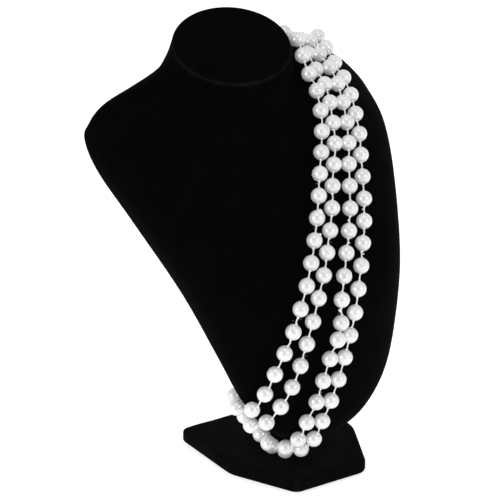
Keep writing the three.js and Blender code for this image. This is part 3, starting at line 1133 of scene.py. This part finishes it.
@dataclass
class Pearls:
    """The bored round pearls, one piece for each winding's run on each side of the bust."""

    strand: Strand
    bore: float = 1.6
    inset: float = 0.85
    columns: int = 16
    bands: int = 9
    seed: int = 7

    def profile(self) -> np.ndarray:
        """One pearl's closed profile, along its bore.

        The ball's rows are r * (-cos a, sin a) from the bore's edge to its other edge. Two rows
        inside the bore join its ends, at inset times r and inset times the bore's radius.

        Returns:
            Rows of a place on the axis and a radius.
        """
        radius = self.strand.drawn / 2
        pole = math.asin(self.bore / self.strand.drawn)
        angle = np.linspace(pole, np.pi - pole, self.bands + 1)
        ball = radius * np.stack([-np.cos(angle), np.sin(angle)], axis=-1)
        inside = self.bore / 2 * self.inset
        end = radius * self.inset
        return np.concatenate([ball, [[end, inside], [-end, inside]]])

    def mesh(self, run: slice) -> tuple[np.ndarray, list[list[int]]]:
        """Points and faces of a run: each pearl's profile turned about its own thread.

        A point is c + axis * t + radius * (cos u * s + sin u * b), where t is the direction of
        the thread at bead c, and s and b are square to it.

        Args:
            run: The numbers of the run's beads.

        Returns:
            All points as (n, 3), and all faces.
        """
        centre = self.strand.beads[run][:, None, None]
        travel = self.strand.travel[run]
        directions = (travel, *square_to(travel))
        travel, aside, across = (part[:, None, None] for part in directions)
        profile = self.profile()
        along = profile[None, :, 0, None, None]
        radius = profile[None, :, 1, None, None]
        u = full_turn(self.columns)[None, None, :, None]
        points = centre + along * travel + radius * (np.cos(u) * aside + np.sin(u) * across)
        faces = grid_faces(len(profile), self.columns, loop=True)
        return (points.reshape(-1, 3),
                copied_faces(faces, len(points), len(profile) * self.columns))

    def build(self, nacre: bpy.types.Material, nodes: dict[tuple[Winding, Side], list[str]]) -> None:
        """Makes every run of pearls and gives each pearl its own tone.

        Args:
            nacre: Their finish.
            nodes: The CAD nodes that each run stands for.
        """
        tones = np.random.default_rng(self.seed).random(len(self.strand.beads))
        each = len(self.profile()) * self.columns
        for winding in Winding:
            for side in Side:
                run = self.strand.run(winding, side)
                points, faces = self.mesh(run)
                name = f"pearls_{winding.name.lower()}_{side.name.lower()}"
                make_piece(name, points, faces, nacre,
                           nodes[winding, side], {"tone": np.repeat(tones[run], each)})


@dataclass
class Thread:
    """The twisted cotton thread through all pearls, with a cone of glue where it enters each."""

    strand: Strand
    radius: float = 0.42
    glue: float = 0.45
    glue_length: float = 1.2
    least_glue: float = 0.1
    core: tuple[float, float, float] = (-0.6, 0.0, 0.6)
    plies: int = 3
    ply_depth: float = 0.16
    twist: float = 4.2
    columns: int = 12
    steps: int = 16
    wander: float = 0.35
    seed: int = 11

    def path(self) -> tuple[np.ndarray, np.ndarray]:
        """The thread's closed middle line and each point's distance outside the nearest pearl.

        Inside a pearl it runs straight through the bore, with points at the core's shares of
        the pearl's radius. From pearl to pearl it is straight, with a slight bow of its own:
        wander * sin(pi t) to one side.

        Returns:
            Points as (n, 3), and distances, negative inside a pearl.
        """
        beads, travel = self.strand.beads, self.strand.travel
        radius = self.strand.drawn / 2
        count = len(beads)
        bow = unit(np.random.default_rng(self.seed).normal(size=(count, 3)))
        leave = beads + radius * travel
        arrive = np.roll(beads - radius * travel, -1, axis=0)
        t = np.linspace(0, 1, self.steps)[None, :, None]
        between = (leave[:, None] * (1 - t) + arrive[:, None] * t
                   + self.wander * np.sin(np.pi * t) * bow[:, None])
        gap = np.linalg.norm(arrive - leave, axis=1)[:, None]
        outside = np.minimum(t[..., 0], 1 - t[..., 0]) * gap
        core = beads[:, None] + travel[:, None] * (np.array(self.core) * radius)[:, None]
        inside = np.full((count, len(self.core)), -radius)
        points = np.concatenate([core, between], axis=1).reshape(-1, 3)
        return points, np.concatenate([inside, outside], axis=1).ravel()

    def build(self, cotton: bpy.types.Material) -> bpy.types.Object:
        """Carries the plied profile along the path.

        At angle u and length l the radius is r (1 + depth * cos(plies * u - twist * l)), and
        glue * (1 - d / g)^2 is added within g of a pearl, where d is the distance from it. The
        grooves are filled where there is more than least_glue of it.

        Args:
            cotton: Its finish.

        Returns:
            The piece.
        """
        path, outside = self.path()
        aside, across = square_to(unit(np.roll(path, -1, axis=0) - np.roll(path, 1, axis=0)))
        length = np.concatenate([[0], np.cumsum(np.linalg.norm(np.diff(path, axis=0), axis=1))])
        u = full_turn(self.columns)[None, :]
        wave = np.cos(self.plies * u - self.twist * length[:, None])
        cone = self.glue * np.clip(1 - np.abs(outside) / self.glue_length, 0, 1) ** 2
        radius = self.radius * (1 + self.ply_depth * wave) + cone[:, None]
        points = path[:, None] + radius[..., None] * (
            np.cos(u)[..., None] * aside[:, None] + np.sin(u)[..., None] * across[:, None])
        faces = grid_faces(len(path), self.columns, loop=True)
        # 0 in the grooves, where the thread's finish paints shade, and 1 on crests and glue.
        ply = np.clip(0.5 + 0.5 * wave + (cone[:, None] > self.least_glue), 0, 1)
        return make_piece("thread_cotton", points.reshape(-1, 3), faces.tolist(),
                          cotton, ["thread_inner", "thread_outer"], {"ply": ply.ravel()})


@dataclass
class Fibres:
    """Loose cotton fibres that stand off the thread, from the middle part of each gap."""

    strand: Strand
    per_gap: int = 2
    middle: tuple[float, float] = (0.38, 0.62)
    longest: float = 2.6
    shortest_share: float = 0.25
    mostly_short: float = 1.6
    lean: float = 0.9
    curl: float = 0.35
    thickness: float = 0.09
    taper: float = 0.9
    nudge: float = 0.01
    steps: int = 5
    sides: int = 3
    seed: int = 23

    def build(self, cotton: bpy.types.Material) -> bpy.types.Object:
        """Makes all fibres as thin three-sided curved spikes.

        A fibre's middle line is p + l * (t * d + t^2 * e), where d is square to the thread but
        leans along it at random, and e is a random curl. Its length l is longest times a random
        share to the power mostly_short, and its radius shrinks as 1 - taper * t^2 to its tip.

        Args:
            cotton: Their finish.

        Returns:
            The piece.
        """
        rng = np.random.default_rng(self.seed)
        beads = np.repeat(self.strand.beads, self.per_gap, axis=0)
        following = np.repeat(np.roll(self.strand.beads, -1, axis=0), self.per_gap, axis=0)
        count = len(beads)
        thread = unit(following - beads)
        part = rng.uniform(*self.middle, (count, 1))
        root = beads * (1 - part) + following * part
        random = rng.normal(size=(count, 3))
        out = unit(random - (random * thread).sum(axis=1, keepdims=True) * thread)
        direction = unit(out + thread * rng.normal(0, self.lean, (count, 1)))
        curl = rng.normal(0, self.curl, (count, 3))
        share = rng.uniform(self.shortest_share, 1, (count, 1))
        length = self.longest * share ** self.mostly_short
        t = np.linspace(0, 1, self.steps)[None, :, None]
        line = (root[:, None] + length[:, None] * (t * direction[:, None]
                                                   + t ** 2 * curl[:, None]))
        aside, across = square_to(direction, thread + self.nudge)
        u = full_turn(self.sides)[None, None, :, None]
        radius = (self.thickness / 2 * (1 - self.taper * t ** 2))[:, :, None]
        points = line[:, :, None] + radius * (
            np.cos(u) * aside[:, None, None] + np.sin(u) * across[:, None, None])
        each = self.steps * self.sides
        root_ring = np.arange(self.sides)[None, :]
        faces = [corners for surface in (
            grid_faces(self.steps, self.sides), root_ring + each - self.sides, root_ring[:, ::-1],
        ) for corners in copied_faces(surface, count, each)]
        return make_piece("thread_fibres", points.reshape(-1, 3), faces, cotton,
                          [], {"ply": np.ones(count * each)})


@dataclass(frozen=True)
class Tuft:
    """A lump of cotton and glue beside a pearl, counted down the winding's front run.

    It lies at a share of the way from that pearl to the next, moved by offset.
    """

    winding: Winding
    pearl: int
    share: float
    offset: tuple[float, float, float]
    size: float


TUFTS = (
    Tuft(Winding.INNER, 9, 0.0, (0.9, -1.6, 4.2), 1.6),
    Tuft(Winding.INNER, 10, 0.0, (3.3, -0.9, 3.3), 0.75),
    Tuft(Winding.THIRD, 10, 0.52, (-0.8, -0.1, 0.0), 0.55),
    Tuft(Winding.THIRD, 11, 0.55, (0.7, -0.5, 0.1), 0.5),
    Tuft(Winding.OUTER, 10, 0.48, (-0.7, 0.3, 0.2), 0.5),
    Tuft(Winding.OUTER, 12, 0.5, (0.6, -0.5, 0.3), 0.5),
    Tuft(Winding.OUTER, 12, 0.42, (-0.7, 0.2, 0.3), 0.45),
    Tuft(Winding.THIRD, 14, 0.45, (-1.6, -0.8, 0.6), 0.95),
    Tuft(Winding.SECOND, 16, 0.86, (1.2, -1.2, 0.8), 0.6),
    Tuft(Winding.INNER, 17, 0.5, (0.5, -0.9, 0.3), 0.6),
)


@dataclass
class Lumps:
    """The lumps of cotton and glue at the knots."""

    strand: Strand
    rings: int = 7
    columns: int = 10
    rough: tuple[float, float] = (0.7, 1.25)
    seed: int = 31

    def build(self, cotton: bpy.types.Material) -> bpy.types.Object:
        """Makes every lump as a ball whose radius varies from point to point.

        A point is c + size * w * (cos b cos a, cos b sin a, sin b), with latitude b, longitude
        a and w between the two shares of rough.

        Args:
            cotton: Their finish.

        Returns:
            The piece.
        """
        rng = np.random.default_rng(self.seed)
        latitude = np.linspace(-np.pi / 2, np.pi / 2, self.rings + 2)[1:-1, None]
        longitude = full_turn(self.columns)[None, :]
        level = np.broadcast_to(np.sin(latitude), (self.rings, self.columns))
        ball = np.stack([np.cos(latitude) * np.cos(longitude),
                         np.cos(latitude) * np.sin(longitude), level], axis=-1)
        points, faces, count = [], [], 0
        for tuft in TUFTS:
            at = self.strand.run(tuft.winding, Side.FRONT).start + tuft.pearl
            here, following = self.strand.beads[at], self.strand.beads[at + 1]
            middle = here * (1 - tuft.share) + following * tuft.share + tuft.offset
            swell = rng.uniform(*self.rough, (self.rings, self.columns, 1))
            skin, cells = closed_shell(middle + tuft.size * swell * ball)
            points.append(skin)
            faces += [[corner + count for corner in cell] for cell in cells]
            count += len(skin)
        return make_piece("thread_lumps", np.concatenate(points), faces, cotton,
                          [], {"ply": np.ones(count)})


@dataclass
class Necklace:
    """The strand's pearls, thread, loose fibres and lumps."""

    strand: Strand
    own_beads: int = 19

    def nodes(self) -> dict[tuple[Winding, Side], list[str]]:
        """Finds the CAD nodes that each run of pearls stands for.

        Returns:
            Their names, by winding and side.
        """
        return {
            (Winding.INNER, Side.FRONT): self._named("bead_inner", 1, self.own_beads),
            (Winding.INNER, Side.BEHIND): self._named("strand", 1, 3),
            (Winding.SECOND, Side.FRONT): self._named("strand", 4, 5),
            (Winding.SECOND, Side.BEHIND): self._named("strand", 6, 7),
            (Winding.THIRD, Side.FRONT): self._named("strand", 8, 10),
            (Winding.THIRD, Side.BEHIND): self._named("strand", 11, 12),
            (Winding.OUTER, Side.FRONT): (self._named("bead_outer", 1, self.own_beads)
                                          + self._named("strand", 13, 13)),
            (Winding.OUTER, Side.BEHIND): self._named("strand", 14, 16),
        }

    @staticmethod
    def _named(kind: str, first: int, last: int) -> list[str]:
        """The names of consecutive nodes of one kind."""
        return [f"{kind}_{i:02d}" for i in range(first, last + 1)]

    def build(self, nacre: bpy.types.Material, cotton: bpy.types.Material) -> None:
        """Makes the pearls and the thread, and logs how far they lie from the CAD's beads.

        Args:
            nacre: The pearls' finish.
            cotton: The finish of the thread, its fibres and its lumps.
        """
        nodes = self.nodes()
        Pearls(self.strand).build(nacre, nodes)
        Thread(self.strand).build(cotton)
        Fibres(self.strand).build(cotton)
        Lumps(self.strand).build(cotton)
        fronts = nodes[Winding.INNER, Side.FRONT]
        boxes = np.array([[list(corner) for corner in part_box(name)] for name in fronts]) / MM
        off = np.linalg.norm(boxes.mean(axis=1) - self.strand.beads[:len(fronts)], axis=1)
        log.info("necklace: %d pearls, at most %.2f mm from the CAD's", len(self.strand.beads),
                 off.max())


# --------------------------------------------------------------------------------------------
# The studio
# --------------------------------------------------------------------------------------------


@dataclass(frozen=True)
class Softbox:
    """A soft square light, placed by its direction from the camera's own axis in degrees."""

    name: str
    turn: float
    rise: float
    power: float
    size: float
    distance: float = 2.4


@dataclass
class Studio:
    """A pale floor, even light all round, three softboxes and the camera."""

    place: tuple[float, float, float] = (-0.9968, -1.4792, 0.913)
    turn: tuple[float, float, float] = (66.384, 0.0, -33.273)
    lens: float = 239.04
    sensor: float = 36.0
    sight: float = 60.0
    aim: tuple[float, float, float] = (0.0, 0.0, 0.12)
    surround: float = 0.78
    viewer_side: float = 0.12
    shade: tuple[float, float] = (0.45, 0.9)
    floor_glow: float = 0.45
    floor_size: float = 30.0
    boxes: tuple[Softbox, ...] = (
        Softbox("softbox_left", -49.0, 2.0, 18.5, 0.7),
        Softbox("softbox_right", 41.6, 8.5, 13.0, 0.55),
        Softbox("softbox_above", 0.0, 48.4, 6.0, 0.7),
    )

    def build(self) -> None:
        """Makes the floor, the lights and the camera."""
        scene = bpy.context.scene
        scene.view_settings.view_transform = "Standard"
        camera_turn = Euler([math.radians(angle) for angle in self.turn]).to_matrix()
        self._surroundings(camera_turn @ Vector((0, 0, 1)))
        self._floor()
        for box in self.boxes:
            self._light(box, camera_turn)
        data = bpy.data.cameras.new("camera")
        data.lens = self.lens
        data.sensor_width = self.sensor
        data.clip_end = self.sight
        camera = bpy.data.objects.new("camera", data)
        camera.matrix_world = Matrix.Translation(self.place) @ camera_turn.to_4x4()
        scene.collection.objects.link(camera)
        scene.camera = camera

    def _surroundings(self, viewer: Vector) -> None:
        """Makes white surroundings that are darker on the viewer's side, where nothing shines.

        The level falls from surround to viewer_side times surround, while the cosine between a
        direction and the viewer's rises through the two numbers of shade.

        Args:
            viewer: The direction of the viewer.
        """
        world = bpy.data.worlds.new("surroundings")
        world.use_nodes = True
        nodes = Nodes(world.node_tree)
        ray = nodes.node("ShaderNodeTexCoord", {}, {}, "Generated")
        facing = nodes.node("ShaderNodeVectorMath", {"operation": "DOT_PRODUCT"},
                            {0: ray, 1: viewer}, "Value")
        start, end = self.shade
        level = nodes.ramp(facing, (start, 1.0), (end, self.viewer_side)) * self.surround
        background = world.node_tree.nodes["Background"]
        background.inputs["Color"].default_value = grey(1.0)
        world.node_tree.links.new(level.socket, background.inputs["Strength"])
        bpy.context.scene.world = world

    def _floor(self) -> None:
        """Makes the plain floor that everything stands on."""
        half = self.floor_size / 2
        mesh = bpy.data.meshes.new("floor")
        mesh.from_pydata([(-half, -half, 0), (half, -half, 0), (half, half, 0), (-half, half, 0)],
                         [], [(0, 1, 2, 3)])
        shader = Shader("floor_paint", {
            "Base Color": grey(0.93), "Roughness": 0.9, "Specular IOR Level": 0.1,
            "Emission Color": grey(1.0), "Emission Strength": self.floor_glow,
        })
        mesh.materials.append(shader.material)
        floor = bpy.data.objects.new("floor", mesh)
        bpy.context.scene.collection.objects.link(floor)

    def _light(self, box: Softbox, camera_turn: Matrix) -> None:
        """Places one softbox and aims it at the middle of the object.

        It casts no shadow, so that the floor stays plain.

        Args:
            box: The softbox.
            camera_turn: The camera's rotation.
        """
        turn, rise = math.radians(box.turn), math.radians(box.rise)
        direction = camera_turn @ Vector((
            math.sin(turn) * math.cos(rise), math.sin(rise), math.cos(turn) * math.cos(rise)))
        data = bpy.data.lights.new(box.name, "AREA")
        data.shape = "SQUARE"
        data.size = box.size
        data.energy = box.power
        data.use_shadow = False
        light = bpy.data.objects.new(box.name, data)
        facing = direction.to_track_quat("Z", "Y").to_matrix().to_4x4()
        light.matrix_world = Matrix.Translation(
            Vector(self.aim) + direction * box.distance) @ facing
        bpy.context.scene.collection.objects.link(light)


def main() -> None:
    """Builds the stand, the necklace and the studio in that order."""
    logging.basicConfig(level=logging.INFO, format="%(message)s")
    velvet = VelvetFinish().material("black_velvet")
    nacre = PearlFinish().material("pearl_nacre")
    cotton = CottonFinish().material("white_cotton")
    bust = Bust()
    bust.build(velvet)
    BasePlate().build(velvet)
    Stem().build(bust, velvet)
    Necklace(Strand(bust)).build(nacre, cotton)
    Studio().build()


if __name__ == "__main__":
    main()
